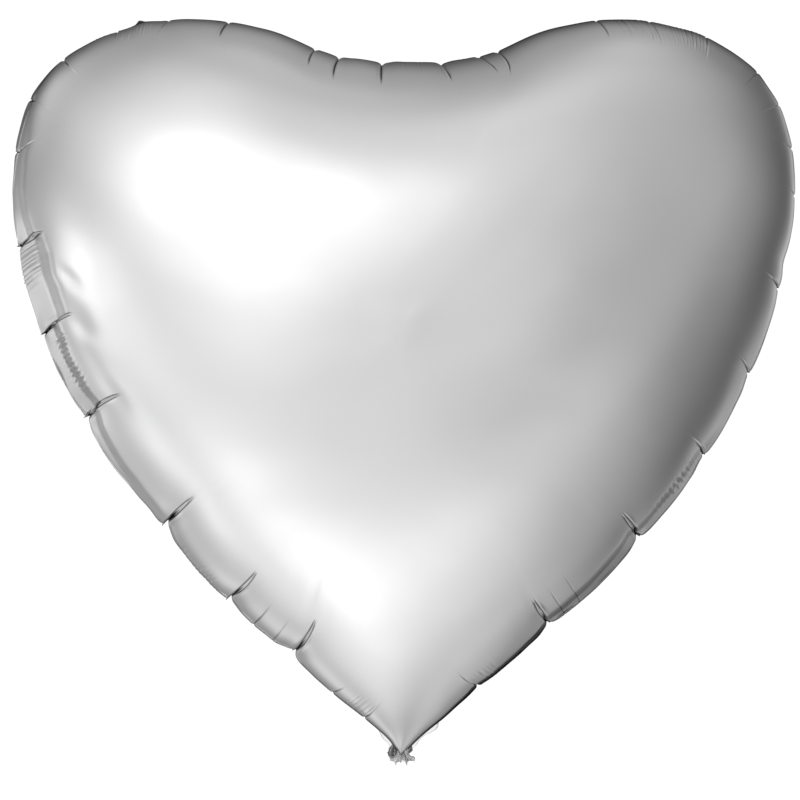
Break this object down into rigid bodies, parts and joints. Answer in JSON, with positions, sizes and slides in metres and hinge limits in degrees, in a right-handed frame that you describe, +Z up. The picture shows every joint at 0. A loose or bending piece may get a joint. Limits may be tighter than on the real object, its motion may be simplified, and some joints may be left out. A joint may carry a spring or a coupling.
{
  "type": "heart-shaped foil balloon",
  "caption": "Inflated heart balloon of plain silver foil film, with a heat-sealed flange all round, a self-sealing valve and a gathered tail folded up behind its tip.",
  "frame": {"origin": "tie point in the narrow of the neck, just under the heart's lower tip, in the plane of the seam", "axes": "+Z up from the tie point to the notch, -Y out of the front face, +X to the right seen from the front"},
  "size_m": [0.39, 0.1656, 0.3714],
  "materials": {
    "silver_foil": "satin metallised film, soft blurred reflections, sharp puckers along the seam",
    "clear_valve_film": "thin clear polyethylene film, slightly milky where it is creased"
  },
  "bodies": {
    "balloon": {"front_foil_panel": "silver_foil", "back_foil_panel": "silver_foil", "valve_back_film": "clear_valve_film"},
    "valve_flap": {"valve_front_film": "clear_valve_film"},
    "tail": {"tail_front_ply": "silver_foil", "tail_back_ply": "silver_foil", "valve_inlet_sleeve": "clear_valve_film"}
  },
  "joints": [
    {"name": "tail_fold", "type": "hinge", "parent": "balloon", "child": "tail", "pos_m": [0, 0.0023, -0.004], "axis": [-1, 0, 0], "range_deg": [0, 150]},
    {"name": "valve_open", "type": "hinge", "parent": "balloon", "child": "valve_flap", "pos_m": [0, -0.0003, -0.0024], "axis": [1, 0, 0], "range_deg": [0, 2]}
  ]
}
